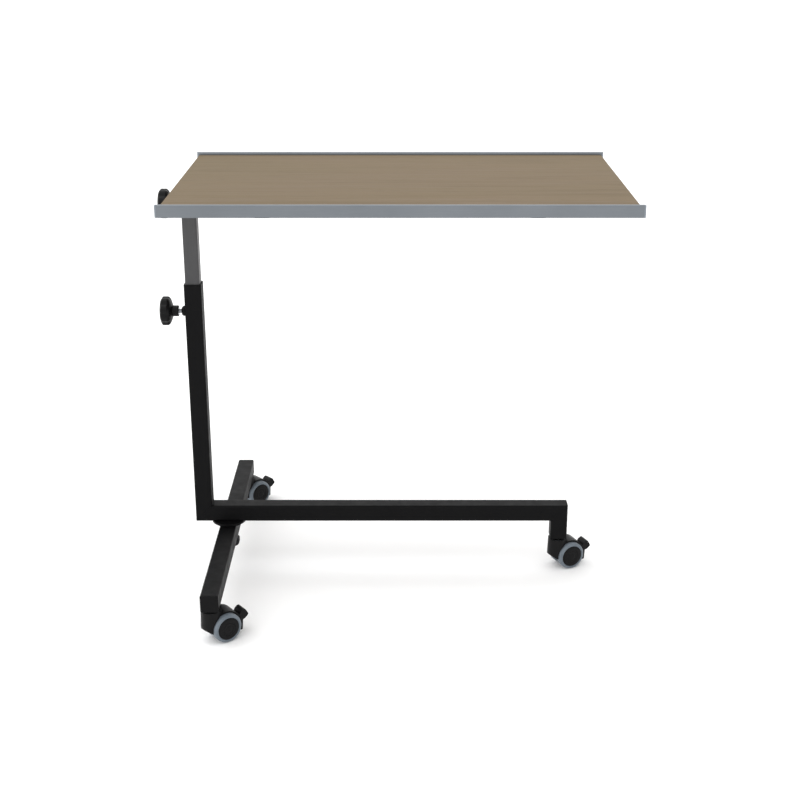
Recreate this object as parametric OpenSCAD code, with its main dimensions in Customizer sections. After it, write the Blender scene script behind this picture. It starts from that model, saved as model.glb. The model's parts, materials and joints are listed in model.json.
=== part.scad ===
// Overbed table on three twin-wheel casters: a C-shaped base of square tube,
// a telescopic column at its left, and a tilting top with aluminium edges.
// Millimetres, +Z up, +X along the top's length, +Y towards its far edge.

/* [Table top] */
// Length of the top over its edge profiles
top_length = 740; // [700:5:800]
// Depth of the top over its edge profiles
top_depth = 470; // [420:5:500]
// Height of the profiles' lips above the floor
top_height = 720; // [710:5:740]
// Thickness of the board
board_thickness = 15; // [15:1:18]
// Depth of each aluminium edge profile
profile_width = 8; // [7:0.5:10]
// How far a profile's lip stands above the board
lip_height = 5; // [3:0.5:7]
// How far each end of a profile runs past the board
profile_overrun = 5; // [4:0.5:8]
// How far the profiles reach to the left of the column's axis
top_overhang = 17; // [15:0.5:24]

/* [Column] */
// Side of the outer square tube, used for column, beam, leg and cross bar
frame_side = 30; // [30:1:34]
// Wall of every square tube
tube_wall = 1.5; // [1.5:0.25:2]
// Side of the inner square tube
inner_side = 25; // [24:0.5:25]
// Length of the inner square tube
inner_length = 485; // [475:1:500]
// Height of the outer tube's mouth above the floor
mouth_height = 535; // [520:5:545]
// Height of the clamp knob's axis above the floor
clamp_height = 487; // [470:1:495]

/* [Base] */
// Length of the base beam over its mitred ends
beam_length = 670; // [620:5:690]
// Length of the cross bar over its end caps
bar_length = 580; // [520:5:600]
// Distance from the column's axis to the cross bar's axis
bar_offset = 43; // [40:1:70]
// Diameter of the disc that the cross bar turns against
disc_diameter = 60; // [50:1:64]

/* [Casters] */
// Diameter of each caster wheel
wheel_diameter = 50; // [48:1:52]
// Height of a caster from the floor to its mounting face
caster_height = 61; // [61:1:66]
// Distance from a caster's stem to its axle
trail = 19.5; // [18:0.5:21]
// Direction in which the front caster trails, from +X towards +Y
front_angle = 37; // [0:1:60]
// Direction in which the back caster trails, from +X towards +Y
back_angle = 43; // [0:1:60]
// Direction in which the right caster trails, from +X towards +Y
right_angle = 24; // [0:1:60]

/* [Knobs] */
// Diameter of the two lobed clamp knobs
knob_diameter = 50; // [44:1:52]
// Number of lobes round a clamp knob
lobe_count = 8; // [6:1:10]
// Diameter of the domed knob under the cross bar
dome_diameter = 36; // [30:1:40]

/* [Hidden] */
$fn = 64;

// Colours
frame_black = "#1d1d1e";
column_grey = "#5a5b5d";
moulded_black = "#181819";
nylon_black = "#262627";
zinc_steel = "#b9bcc0";
laminate = "#958871";
chipboard = "#b3946a";
satin_aluminium = "#9aa0a6";
cap_grey = "#80868c";
tyre_grey = "#68737d";

// Play and laps
running = 0.05;
plug_play = 0.1;
gap = 0.3;
stud_play = 0.5;
corner_steps = 4;

// Tubes
frame_half = frame_side / 2;
frame_corner = 3;
inner_half = inner_side / 2;
inner_corner = 2.5;
frame_bore = frame_side - 2 * tube_wall;
inner_bore = inner_side - 2 * tube_wall;

// Heights, from the floor up
pivot_stack = 5.5;
beam_low = caster_height + frame_side + pivot_stack;
beam_mid = beam_low + frame_half;
bar_low = caster_height;
bar_high = bar_low + frame_side;
washer_thickness = 1.2;
disc_thickness = beam_low - bar_high - gap - washer_thickness;
stud_low = bar_low - 11;
stud_high = beam_low + 12;

// Base
leg_x = beam_length - frame_side;
bar_half = bar_length / 2;
bar_cap_lip = 2;
stem_y = bar_half - 17;
boss_radius = 9;
stem_bush_radius = 7.5;
bush_height = 22;
sleeve_radius = 8;
pivot_radius = 5;
pivot_bore = pivot_radius + running;

// Top, from the board down to the tilt axis
board_high = top_height - lip_height;
board_low = board_high - board_thickness;
skin_thickness = 0.8;
band_thickness = 1;
strap_height = 14;
strap_width = 25;
rail_side = 25;
tilt_axis = board_low - strap_height - rail_side / 2;
cap_thickness = 2.5;
profile_left = -top_overhang;
profile_right = profile_left + top_length;
board_left = profile_left + profile_overrun;
board_right = profile_right - profile_overrun;
profile_wall = 1.6;
lip_round = 3;
profile_y = top_depth / 2;
board_y = profile_y - profile_width;
groove_depth = 9;
groove_height = 3;
strap_reach = 340;
strap_left = board_left + 150;
strap_right = board_right - 150;
strap_screw_y = [-150, -50, 50, 150];
screw_radius = 2;
screw_length = 11;
screw_head_radius = 4;
screw_head_height = 2.5;
pilot_radius = screw_radius + 0.1;
pilot_depth = screw_length + 0.5;
driver_hole_radius = screw_head_radius + 1;

// Inner column
inner_high = tilt_axis + 15;
inner_low = inner_high - inner_length;
foot_lip = 3;

// Tilt joint, along +X from the column's right face
bolt_radius = 4;
bolt_bore = bolt_radius + running;
tilt_boss_left = -17;
tilt_sleeve_radius = 6.5;
tilt_washer_radius = 11;
nut_radius = 7.5;
washer_left = inner_half + gap;
plate_left = washer_left + 1.5;
rail_left = plate_left + 3;
rail_right = strap_right + 45;
nut_length = 8;

// Knobs, along the outward direction from the hub's end
hub_radius = 9.5;
hub_length = 10.5;
flare_length = 6.5;
rim_length = 11;
crown_length = 4.5;
rim_radius = knob_diameter / 2;
lobe_cut = 5.5;
knob_length = hub_length + flare_length + rim_length + crown_length;
stud_in_knob = hub_length + 6;
boss_length = 7;
boss_round = 4.5;
height_hub_x = -frame_half - boss_length - 5;
tilt_hub_x = tilt_boss_left - 2.5;
dome_radius = dome_diameter / 2;

// Casters, in the caster's own frame: stem at the origin, +X along the trail
wheel_radius = wheel_diameter / 2;
tyre_inner = wheel_radius - 5.6;
hood_outer = wheel_radius + 3.8;
hood_inner = wheel_radius + 1.2;
hood_half = 15;
web_half = 4.5;
collar_top = caster_height - 3;
collar_radius = 17;
collar_spread = 18.6;
collar_low = 4;
collar_front_low = 28;
collar_slope = 30;
swivel_radius = 5.5;
swivel_low = wheel_radius + 9;
axle_radius = 3;
hub_inner_face = 5.3;
hub_outer_face = 24;
tyre_inner_face = 6.2;
tyre_outer_face = 22.6;
pin_radius = 2;
pedal_x = 49;
pedal_z = 30;
pedal_half = 10;

// Corners of the wheels' outlines, as [distance from the caster's middle, radius]
tyre_round = 3;
tyre_corner = [tyre_outer_face - tyre_round, wheel_radius - tyre_round];
hub_corner = [hub_outer_face, tyre_inner - 2];

// The object's box about the column's axis, for an origin at its bottom centre
function wheel_reach(a) = max(
  tyre_corner[0] * cos(a) + tyre_corner[1] * sin(a) + tyre_round,
  hub_corner[0] * cos(a) + hub_corner[1] * sin(a)
);
pedal_tip = [64, pedal_half];
box_left = min(profile_left, min(tilt_hub_x, height_hub_x) - knob_length);
box_right = profile_right;
box_front = -stem_y + trail * sin(front_angle) - wheel_reach(front_angle);
box_back = stem_y + max(
  trail * sin(back_angle) + wheel_reach(back_angle),
  pedal_tip[0] * sin(back_angle) + pedal_tip[1] * cos(back_angle)
);
middle_x = (box_left + box_right) / 2;
middle_y = (box_front + box_back) / 2;

// ---------------------------------------------------------------- helpers

function arc(x, y, r, from, to, steps) = [
  for (i = [0 : steps])
    [x + r * cos(from + (to - from) * i / steps), y + r * sin(from + (to - from) * i / steps)]
];

// Moves what is drawn about the column's axis into the object's own frame
module in_frame() {
  translate([-middle_x, -middle_y, 0]) children();
}

module rounded_rectangle(width, depth, corner) {
  x = width / 2 - corner;
  y = depth / 2 - corner;
  polygon(concat(
    arc(x, y, corner, 0, 90, corner_steps),
    arc(-x, y, corner, 90, 180, corner_steps),
    arc(-x, -y, corner, 180, 270, corner_steps),
    arc(x, -y, corner, 270, 360, corner_steps)
  ));
}

// Square or oblong tube along +Z
module tube(width, depth, corner, length) {
  linear_extrude(length) difference() {
    rounded_rectangle(width, depth, corner);
    rounded_rectangle(width - 2 * tube_wall, depth - 2 * tube_wall, corner - tube_wall);
  }
}

// The same tube along +X
module tube_along_x(width, height, corner, length) {
  rotate([90, 0, 90]) tube(width, height, corner, length);
}

// The same tube along +Y
module tube_along_y(width, height, corner, length) {
  rotate([-90, 0, 0]) tube(width, height, corner, length);
}

// Turns what is drawn along +Z so that it points along +X
module along_x() {
  rotate([0, 90, 0]) children();
}

// Turns what is drawn along +Z so that it points along -X
module along_minus_x() {
  rotate([0, -90, 0]) children();
}

module ring(outer, inner, length) {
  difference() {
    cylinder(r = outer, h = length);
    translate([0, 0, -1]) cylinder(r = inner, h = length + 2);
  }
}

// Everything above the mitre plane, which rises to the right through the point [x, z]
module above_mitre(x, z) {
  translate([x, 0, z]) rotate([0, -45, 0]) translate([-100, -50, 0]) cube([200, 100, 200]);
}

// Everything below that plane
module below_mitre(x, z) {
  translate([x, 0, z]) rotate([0, -45, 0]) translate([-100, -50, -200]) cube([200, 100, 200]);
}

// ---------------------------------------------------------------- base frame

module column_tube() {
  in_frame() color(frame_black) difference() {
    translate([0, 0, beam_low]) tube(frame_side, frame_side, frame_corner, mouth_height - beam_low);
    below_mitre(0, beam_mid);
    translate([-frame_side, 0, clamp_height])
      along_x() cylinder(r = bolt_radius + stud_play, h = frame_side);
  }
}

module beam_tube() {
  in_frame() color(frame_black) difference() {
    translate([-frame_half, 0, beam_mid])
      tube_along_x(frame_side, frame_side, frame_corner, beam_length);
    above_mitre(0, beam_mid);
    below_mitre(leg_x, beam_mid);
    translate([bar_offset, 0, beam_low - 1]) cylinder(r = pivot_bore, h = tube_wall + 2);
  }
}

module leg_tube() {
  in_frame() color(frame_black) difference() {
    translate([leg_x, 0, caster_height])
      tube(frame_side, frame_side, frame_corner, beam_low + frame_side - caster_height);
    above_mitre(leg_x, beam_mid);
  }
}

module leg_bush() {
  in_frame() color(zinc_steel) translate([leg_x, 0, caster_height]) difference() {
    linear_extrude(bush_height) rounded_rectangle(frame_bore, frame_bore, frame_corner - tube_wall);
    translate([0, 0, -1]) cylinder(r = pivot_bore, h = bush_height + 2);
  }
}

// Lining of the outer tube's mouth, with a lip on the tube's end
module guide_bush() {
  lining = 40;
  lip = 1.5;
  in_frame() color(nylon_black) translate([0, 0, mouth_height]) difference() {
    union() {
      translate([0, 0, -lining]) linear_extrude(lining)
        rounded_rectangle(frame_bore, frame_bore, frame_corner - tube_wall);
      linear_extrude(lip) rounded_rectangle(frame_side, frame_side, frame_corner);
    }
    translate([0, 0, -lining - 1]) linear_extrude(lining + lip + 2)
      rounded_rectangle(inner_side + 2 * plug_play, inner_side + 2 * plug_play, inner_corner);
    translate([-frame_side, 0, clamp_height - mouth_height])
      along_x() cylinder(r = bolt_radius + stud_play, h = frame_side);
  }
}

// Threaded boss welded to the column's left face
module clamp_boss() {
  in_frame() color(frame_black) translate([-frame_half, 0, clamp_height]) along_minus_x()
    rotate_extrude() polygon(concat(
      [[bolt_bore, 0], [boss_radius, 0]],
      arc(boss_radius - boss_round, boss_length - boss_round, boss_round, 0, 90, corner_steps),
      [[bolt_bore, boss_length]]
    ));
}

module pivot_disc() {
  in_frame() color(frame_black) translate([bar_offset, 0, beam_low - disc_thickness])
    ring(disc_diameter / 2, pivot_bore, disc_thickness);
}

module pivot_washer() {
  in_frame() color(nylon_black) translate([bar_offset, 0, bar_high + gap])
    ring(disc_diameter / 2 - 2, pivot_bore, washer_thickness);
}

module pivot_stud() {
  head_radius = 9;
  head_height = 5;
  in_frame() color(zinc_steel) translate([bar_offset, 0, 0]) {
    translate([0, 0, stud_low]) cylinder(r = pivot_radius, h = stud_high - stud_low);
    translate([0, 0, beam_low + tube_wall]) cylinder(r = head_radius, h = head_height);
  }
}

// ---------------------------------------------------------------- cross bar

module cross_bar_tube() {
  length = bar_length - 2 * bar_cap_lip;
  in_frame() color(frame_black) translate([bar_offset, 0, 0]) difference() {
    translate([0, -length / 2, bar_low + frame_half])
      tube_along_y(frame_side, frame_side, frame_corner, length);
    translate([0, 0, bar_low - 1]) cylinder(r = sleeve_radius + running, h = frame_side + 2);
    for (y = [-stem_y, stem_y])
      translate([0, y, bar_low - 1]) cylinder(r = pivot_bore, h = tube_wall + 2);
  }
}

// Plug pushed into each end of the cross bar, short of the bush inside
module cross_bar_caps() {
  plug = 6;
  in_frame() color(nylon_black) for (side = [-1, 1])
    translate([bar_offset, side * bar_half, bar_low + frame_half]) rotate([side * 90, 0, 0]) {
      linear_extrude(bar_cap_lip) rounded_rectangle(frame_side, frame_side, frame_corner);
      translate([0, 0, bar_cap_lip]) linear_extrude(plug)
        rounded_rectangle(frame_bore - 2 * plug_play, frame_bore - 2 * plug_play, frame_corner - tube_wall);
    }
}

// Threaded bushes welded inside the cross bar over its casters
module cross_bar_bushes() {
  in_frame() color(zinc_steel) for (y = [-stem_y, stem_y])
    translate([bar_offset, y, bar_low + tube_wall]) ring(stem_bush_radius, pivot_bore, bush_height);
}

// Sleeve through the cross bar that turns on the pivot stud
module cross_bar_sleeve() {
  in_frame() color(zinc_steel) translate([bar_offset, 0, bar_low])
    ring(sleeve_radius, pivot_bore, frame_side);
}

// ---------------------------------------------------------------- inner column

module inner_tube() {
  in_frame() color(column_grey) difference() {
    translate([0, 0, inner_low]) tube(inner_side, inner_side, inner_corner, inner_length);
    translate([-inner_side, 0, tilt_axis]) along_x()
      cylinder(r = tilt_sleeve_radius + running, h = 2 * inner_side);
  }
}

// Guide plug in the inner tube's lower end
module column_foot() {
  plug = 12;
  in_frame() color(nylon_black) translate([0, 0, inner_low]) {
    translate([0, 0, -foot_lip]) linear_extrude(foot_lip)
      rounded_rectangle(frame_bore - 2 * plug_play, frame_bore - 2 * plug_play, frame_corner - tube_wall);
    linear_extrude(plug)
      rounded_rectangle(inner_bore - plug_play, inner_bore - plug_play, inner_corner - tube_wall);
  }
}

// End cap on the inner tube's upper end, kept above the tilt sleeve
module column_cap() {
  lip = 2;
  plug = 5;
  in_frame() color(nylon_black) translate([0, 0, inner_high]) {
    linear_extrude(lip) rounded_rectangle(inner_side, inner_side, inner_corner);
    translate([0, 0, -plug]) linear_extrude(plug)
      rounded_rectangle(inner_bore - plug_play, inner_bore - plug_play, inner_corner - tube_wall);
  }
}

// Sleeve through the column's head, with a boss for the tilt knob to press on
module tilt_sleeve() {
  in_frame() color(zinc_steel) translate([0, 0, tilt_axis]) along_x() difference() {
    union() {
      translate([0, 0, tilt_boss_left]) cylinder(r = boss_radius, h = -inner_half - tilt_boss_left);
      translate([0, 0, -inner_half]) cylinder(r = tilt_sleeve_radius, h = inner_side);
    }
    translate([0, 0, tilt_boss_left - 1]) cylinder(r = bolt_bore, h = 2 * inner_side);
  }
}

// ---------------------------------------------------------------- table top

// Grooves along the board's two long edges, which take the profiles' tongues
module edge_grooves() {
  low = board_low + (board_thickness - groove_height) / 2;
  for (y = [-board_y - 1, board_y - groove_depth])
    translate([board_left - 1, y, low])
      cube([board_right - board_left + 2, groove_depth + 1, groove_height]);
}

module board_core() {
  left = board_left + band_thickness;
  length = board_right - band_thickness - left;
  height = board_thickness - 2 * skin_thickness;
  in_frame() color(chipboard) difference() {
    translate([left, -board_y, board_low + skin_thickness]) cube([length, 2 * board_y, height]);
    edge_grooves();
    at_board_screws() cylinder(r = pilot_radius, h = pilot_depth);
  }
}

// Decor laminate on the board's top, balancing laminate on its underside
module laminate_skins() {
  left = board_left + band_thickness;
  length = board_right - band_thickness - left;
  in_frame() color(laminate) {
    translate([left, -board_y, board_high - skin_thickness]) cube([length, 2 * board_y, skin_thickness]);
    difference() {
      translate([left, -board_y, board_low]) cube([length, 2 * board_y, skin_thickness]);
      at_board_screws() cylinder(r = pilot_radius, h = pilot_depth);
    }
  }
}

module edge_bands() {
  in_frame() color(laminate) difference() {
    for (x = [board_left, board_right - band_thickness])
      translate([x, -board_y, board_low]) cube([band_thickness, 2 * board_y, board_thickness]);
    edge_grooves();
  }
}

// Section of an edge profile in the plane across it: x outward from the board, y up
module profile_outline() {
  high = board_thickness + lip_height;
  crown = 2;
  polygon(concat(
    [[0, 0], [profile_width - crown, 0]],
    arc(profile_width - crown, crown, crown, -90, 0, corner_steps),
    arc(profile_width - crown, high - crown, crown, 0, 90, corner_steps),
    arc(lip_round, high - lip_round, lip_round, 90, 180, corner_steps)
  ));
}

module profile_section() {
  play = 0.2;
  tongue_low = (board_thickness - groove_height) / 2 + play;
  difference() {
    profile_outline();
    translate([profile_wall, profile_wall])
      square([profile_width - 2 * profile_wall, board_thickness + lip_height - 2 * profile_wall]);
  }
  translate([1 - groove_depth, tongue_low]) square([groove_depth - 1, groove_height - 2 * play]);
}

// Plan of the far edge's profile, whose inner corners are rounded off past the board's ends
module profile_plan() {
  tip = profile_y - 1;
  polygon(concat(
    [[board_left, board_y - groove_depth]],
    [for (t = [0 : 15 : 90]) [board_left - profile_overrun * sin(t), tip - (tip - board_y) * cos(t)]],
    [[profile_left, profile_y + 1], [profile_right, profile_y + 1]],
    [for (t = [90 : -15 : 0]) [board_right + profile_overrun * sin(t), tip - (tip - board_y) * cos(t)]],
    [[board_right, board_y - groove_depth]]
  ));
}

// Profile on the board's far edge, from x to x + length
module profile(x, length) {
  intersection() {
    translate([x, board_y, board_low]) rotate([90, 0, 90]) linear_extrude(length) children();
    translate([0, 0, board_low - 1]) linear_extrude(board_thickness + lip_height + 2) profile_plan();
  }
}

module back_profile() {
  in_frame() color(satin_aluminium)
    profile(profile_left + cap_thickness, top_length - 2 * cap_thickness) profile_section();
}

module front_profile() {
  in_frame() color(satin_aluminium) mirror([0, 1, 0])
    profile(profile_left + cap_thickness, top_length - 2 * cap_thickness) profile_section();
}

// End caps of the two profiles
module profile_caps() {
  in_frame() color(cap_grey) for (side = [0, 1], x = [profile_left, profile_right - cap_thickness])
    mirror([0, side, 0]) profile(x, cap_thickness) profile_outline();
}

module tilt_rail() {
  in_frame() color(frame_black) translate([rail_left, 0, tilt_axis])
    tube_along_x(rail_side, rail_side, inner_corner, rail_right - rail_left);
}

// Plate that closes the rail's left end and rubs on the tilt washer
module rail_plate() {
  in_frame() color(frame_black) translate([plate_left, 0, tilt_axis]) difference() {
    rotate([90, 0, 90]) linear_extrude(rail_left - plate_left)
      rounded_rectangle(rail_side, rail_side, inner_corner);
    translate([-1, 0, 0]) along_x() cylinder(r = bolt_bore, h = 6);
  }
}

// Threaded nut welded behind the plate
module rail_nut() {
  in_frame() color(zinc_steel) translate([rail_left, 0, tilt_axis]) along_x()
    ring(nut_radius, bolt_bore, nut_length);
}

module rail_plug() {
  plug = 10;
  lip = 2;
  bore = rail_side - 2 * tube_wall - plug_play;
  in_frame() color(nylon_black) translate([rail_right, 0, tilt_axis]) rotate([90, 0, 90]) {
    linear_extrude(lip) rounded_rectangle(rail_side, rail_side, inner_corner);
    translate([0, 0, -plug]) linear_extrude(plug)
      rounded_rectangle(bore, bore, inner_corner - tube_wall);
  }
}

// Friction washer between the column's head and the rail's plate
module tilt_washer() {
  in_frame() color(nylon_black) translate([washer_left, 0, tilt_axis]) along_x()
    ring(tilt_washer_radius, bolt_bore, plate_left - washer_left);
}

module at_straps() {
  for (x = [strap_left, strap_right]) translate([x, 0, board_low - strap_height]) children();
}

// Places what is drawn at each board screw, at the board's underside
module at_board_screws() {
  for (x = [strap_left, strap_right], y = strap_screw_y) translate([x, y, board_low]) children();
}

// Two tubes across the rail that carry the board
module cross_straps() {
  in_frame() color(frame_black) difference() {
    at_straps() translate([0, -strap_reach / 2, strap_height / 2])
      tube_along_y(strap_width, strap_height, inner_corner, strap_reach);
    at_board_screws() {
      translate([0, 0, -tube_wall - 1]) cylinder(r = screw_radius + 0.2, h = tube_wall + 2);
      translate([0, 0, -strap_height - 1]) cylinder(r = driver_hole_radius, h = tube_wall + 3);
    }
  }
}

module strap_caps() {
  lip = 2;
  plug = 8;
  inset = 2 * tube_wall + plug_play;
  in_frame() color(nylon_black) at_straps() for (side = [-1, 1])
    translate([0, side * (strap_reach / 2 + lip), strap_height / 2]) rotate([side * 90, 0, 0]) {
      linear_extrude(lip) rounded_rectangle(strap_width, strap_height, inner_corner);
      translate([0, 0, lip]) linear_extrude(plug)
        rounded_rectangle(strap_width - inset, strap_height - inset, inner_corner - tube_wall);
    }
}

// Screws from inside the straps up into the board
module board_screws() {
  in_frame() color(zinc_steel) at_board_screws() {
    translate([0, 0, -tube_wall - screw_head_height])
      cylinder(r = screw_head_radius, h = screw_head_height);
    translate([0, 0, -tube_wall]) cylinder(r = screw_radius, h = tube_wall + screw_length);
  }
}

// ---------------------------------------------------------------- knobs

// Lobed clamp knob along +Z from its hub's end, with a blind bore for its stud
module lobed_knob() {
  flare_start = hub_length;
  rim_start = hub_length + flare_length;
  rim_end = rim_start + rim_length;
  difference() {
    rotate_extrude() polygon(concat(
      [[0, 0], [hub_radius - 1, 0], [hub_radius, 1], [hub_radius, flare_start]],
      [[13, flare_start + 0.5], [21, flare_start + 3]],
      [[rim_radius - 0.5, rim_start], [rim_radius, rim_start + 1.5], [rim_radius, rim_end - 2]],
      [[rim_radius - 2, rim_end], [18, knob_length - 2], [12, knob_length - 0.6], [0, knob_length]]
    ));
    for (i = [0 : lobe_count - 1]) rotate([0, 0, i * 360 / lobe_count])
      translate([rim_radius + lobe_cut * 0.6, 0, rim_start - 3])
        cylinder(r = lobe_cut, h = rim_length + 8);
    translate([0, 0, -1]) cylinder(r = bolt_bore, h = stud_in_knob + 1.2);
  }
}

module height_knob() {
  in_frame() color(moulded_black) translate([height_hub_x, 0, clamp_height])
    along_minus_x() lobed_knob();
}

module height_stud() {
  left = height_hub_x - stud_in_knob;
  right = -inner_half - gap;
  in_frame() color(zinc_steel) translate([left, 0, clamp_height]) along_x()
    cylinder(r = bolt_radius, h = right - left);
}

module tilt_knob() {
  in_frame() color(moulded_black) translate([tilt_hub_x, 0, tilt_axis])
    along_minus_x() lobed_knob();
}

module tilt_bolt() {
  left = tilt_hub_x - stud_in_knob;
  right = rail_left + nut_length + 4;
  in_frame() color(zinc_steel) translate([left, 0, tilt_axis]) along_x()
    cylinder(r = bolt_radius, h = right - left);
}

// Domed knob on the pivot stud, under the cross bar
module pivot_knob() {
  high = bar_low - gap;
  height = 20;
  neck_radius = 10;
  in_frame() color(moulded_black) translate([bar_offset, 0, high]) mirror([0, 0, 1]) difference() {
    rotate_extrude() polygon(concat(
      [[0, 0], [neck_radius, 0], [neck_radius, 2], [dome_radius - 1, 3]],
      arc(dome_radius - 1, 4, 1, -90, 0, corner_steps),
      [[dome_radius, 9]],
      [for (t = [15 : 15 : 75]) [dome_radius * cos(t), 9 + (height - 9) * sin(t)]],
      [[0, height]]
    ));
    for (i = [0 : 5]) rotate([0, 0, i * 60])
      translate([dome_radius + 4, 0, 2]) cylinder(r = 5, h = height);
    translate([0, 0, -1]) cylinder(r = pivot_bore, h = high - stud_low + 2);
  }
}

// ---------------------------------------------------------------- casters

// Moves a caster to its stem and turns it to its rest direction
module at_front() {
  in_frame() translate([bar_offset, -stem_y, 0]) rotate([0, 0, front_angle]) children();
}

module at_back() {
  in_frame() translate([bar_offset, stem_y, 0]) rotate([0, 0, back_angle]) children();
}

module at_right() {
  in_frame() translate([leg_x, 0, 0]) rotate([0, 0, right_angle]) children();
}

// Moves to the axle, with the far wheel's side along +Z
module at_axle() {
  translate([trail, 0, wheel_radius]) rotate([-90, 0, 0]) children();
}

// Threaded stem with its flange and the swivel pin that the housing turns on
module caster_stem() {
  flange = 2.5;
  translate([0, 0, swivel_low + 0.5])
    cylinder(r = swivel_radius, h = caster_height - flange - swivel_low - 0.5);
  translate([0, 0, caster_height - flange]) cylinder(r = 10, h = flange);
  translate([0, 0, caster_height]) cylinder(r = pivot_radius, h = bush_height);
}

module wheel_pocket() {
  at_axle() translate([0, 0, web_half]) cylinder(r = hood_inner, h = 30);
}

module caster_housing() {
  difference() {
    union() {
      translate([0, 0, collar_low])
        cylinder(r1 = collar_spread, r2 = collar_radius, h = collar_top - collar_low);
      difference() {
        at_axle() translate([0, 0, -hood_half]) cylinder(r = hood_outer, h = 2 * hood_half);
        // The hood ends over the pedal
        translate([trail + 12, -20, -10]) cube([40, 40, pedal_z + 17]);
      }
      at_axle() translate([0, 0, -web_half]) cylinder(r = wheel_radius - 1, h = 2 * web_half);
      // Ear that holds the pedal's pin
      translate([pedal_x, web_half, pedal_z]) rotate([90, 0, 0]) cylinder(r = 4.5, h = 2 * web_half);
      translate([trail + 15, -web_half, pedal_z - 3]) cube([pedal_x - trail - 15, 2 * web_half, 6]);
    }
    wheel_pocket();
    mirror([0, 1, 0]) wheel_pocket();
    // The lower edge slopes down from the collar's front to the web
    translate([-collar_spread, 0, collar_front_low]) rotate([0, collar_slope, 0])
      translate([-20, -40, -60]) cube([120, 80, 60]);
    translate([-40, -40, collar_low - 60]) cube([120, 80, 60]);
    // Recess round the stem
    translate([0, 0, collar_top - 4]) ring(13.5, 8.5, 5);
    translate([0, 0, swivel_low]) cylinder(r = swivel_radius + running, h = 40);
    at_axle() translate([0, 0, -10]) cylinder(r = axle_radius + running, h = 20);
    translate([pedal_x, 10, pedal_z]) rotate([90, 0, 0]) cylinder(r = pin_radius + running, h = 20);
  }
}

// Axle of the two wheels and pin of the pedal
module caster_pins() {
  at_axle() translate([0, 0, -hub_outer_face + 4]) cylinder(r = axle_radius, h = 2 * hub_outer_face - 8);
  translate([pedal_x, pedal_half - 0.5, pedal_z]) rotate([90, 0, 0])
    cylinder(r = pin_radius, h = 2 * pedal_half - 1);
}

// Brake pedal: a rocker with a tab to step on and a skirt that meets the treads
module caster_pedal() {
  inner_x = wheel_radius + trail + 2.5;
  difference() {
    translate([0, pedal_half, 0]) rotate([90, 0, 0]) linear_extrude(2 * pedal_half) polygon(concat(
      [[inner_x, 9], [inner_x + 3, 8], [inner_x + 5.5, 9]],
      [[53.6, 26], [58, 27.5]],
      arc(60.5, 34, 3.5, -40, 28, corner_steps),
      arc(56, 40, 4.5, 28, 140, corner_steps),
      [[50, 41], [47.6, 36.5]]
    ));
    translate([40, -web_half - 0.4, pedal_z - 6]) cube([14.2, 2 * web_half + 0.8, 11.5]);
    translate([pedal_x, 20, pedal_z]) rotate([90, 0, 0]) cylinder(r = pin_radius + running, h = 40);
  }
}

module hub_shape() {
  rotate_extrude() polygon(concat(
    [[axle_radius + running, hub_inner_face], [tyre_inner - 1, hub_inner_face]],
    [[tyre_inner, hub_inner_face + 1], [tyre_inner, tyre_outer_face - 0.5]],
    [[hub_corner[1], hub_corner[0] - 0.2], [tyre_inner * 0.5, hub_corner[0]], [0, hub_corner[0]]],
    [[0, hub_outer_face - 3], [axle_radius + running, hub_outer_face - 3]]
  ));
}

module tyre_shape() {
  middle = (tyre_inner_face + tyre_outer_face) / 2;
  rotate_extrude() polygon(concat(
    [[tyre_inner, tyre_inner_face]],
    arc(tyre_corner[1], tyre_inner_face + tyre_round, tyre_round, -90, 0, corner_steps),
    arc(tyre_corner[1], tyre_corner[0], tyre_round, 0, 90, corner_steps),
    [[tyre_inner, tyre_outer_face], [tyre_inner, middle]]
  ));
}

// The near wheel is on the caster's own -Y side
module near_side() {
  mirror([0, 1, 0]) at_axle() children();
}

module far_side() {
  at_axle() children();
}

module caster_front_stem() { at_front() color(zinc_steel) caster_stem(); }
module caster_front_housing() { at_front() color(moulded_black) caster_housing(); }
module caster_front_pins() { at_front() color(zinc_steel) caster_pins(); }
module caster_front_pedal() { at_front() color(moulded_black) caster_pedal(); }
module caster_front_near_hub() { at_front() color(moulded_black) near_side() hub_shape(); }
module caster_front_near_tyre() { at_front() color(tyre_grey) near_side() tyre_shape(); }
module caster_front_far_hub() { at_front() color(moulded_black) far_side() hub_shape(); }
module caster_front_far_tyre() { at_front() color(tyre_grey) far_side() tyre_shape(); }

module caster_back_stem() { at_back() color(zinc_steel) caster_stem(); }
module caster_back_housing() { at_back() color(moulded_black) caster_housing(); }
module caster_back_pins() { at_back() color(zinc_steel) caster_pins(); }
module caster_back_pedal() { at_back() color(moulded_black) caster_pedal(); }
module caster_back_near_hub() { at_back() color(moulded_black) near_side() hub_shape(); }
module caster_back_near_tyre() { at_back() color(tyre_grey) near_side() tyre_shape(); }
module caster_back_far_hub() { at_back() color(moulded_black) far_side() hub_shape(); }
module caster_back_far_tyre() { at_back() color(tyre_grey) far_side() tyre_shape(); }

module caster_right_stem() { at_right() color(zinc_steel) caster_stem(); }
module caster_right_housing() { at_right() color(moulded_black) caster_housing(); }
module caster_right_pins() { at_right() color(zinc_steel) caster_pins(); }
module caster_right_pedal() { at_right() color(moulded_black) caster_pedal(); }
module caster_right_near_hub() { at_right() color(moulded_black) near_side() hub_shape(); }
module caster_right_near_tyre() { at_right() color(tyre_grey) near_side() tyre_shape(); }
module caster_right_far_hub() { at_right() color(moulded_black) far_side() hub_shape(); }
module caster_right_far_tyre() { at_right() color(tyre_grey) far_side() tyre_shape(); }

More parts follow.
